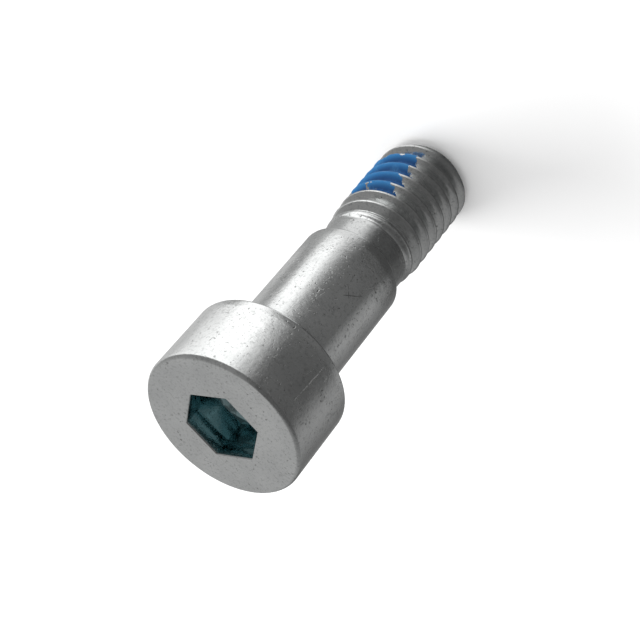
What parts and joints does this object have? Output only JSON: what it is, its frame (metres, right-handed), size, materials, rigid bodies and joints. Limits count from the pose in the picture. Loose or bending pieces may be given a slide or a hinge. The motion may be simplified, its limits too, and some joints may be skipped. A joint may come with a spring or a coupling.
{
  "type": "shoulder bolt",
  "caption": "Zinc-plated shoulder bolt with a cylindrical hexagon-socket head, plain shoulder and metric thread with a blue locking patch.",
  "frame": {"origin": "centre of the bearing face under the head, on the bolt's axis, where the shoulder starts", "axes": "+Z along the bolt's axis, from the thread to the head; +X through a corner of the socket"},
  "size_m": [0.0096, 0.0096, 0.0241],
  "materials": {
    "zinc_plated_steel": "bright zinc plating, satin, with fine specks and small scratches",
    "blue_polyamide": "sprayed polyamide film, semi-gloss, with ragged edges"
  },
  "bodies": {
    "root": {"shoulder_bolt": "zinc_plated_steel", "thread_locking_patch": "blue_polyamide"}
  },
  "joints": []
}
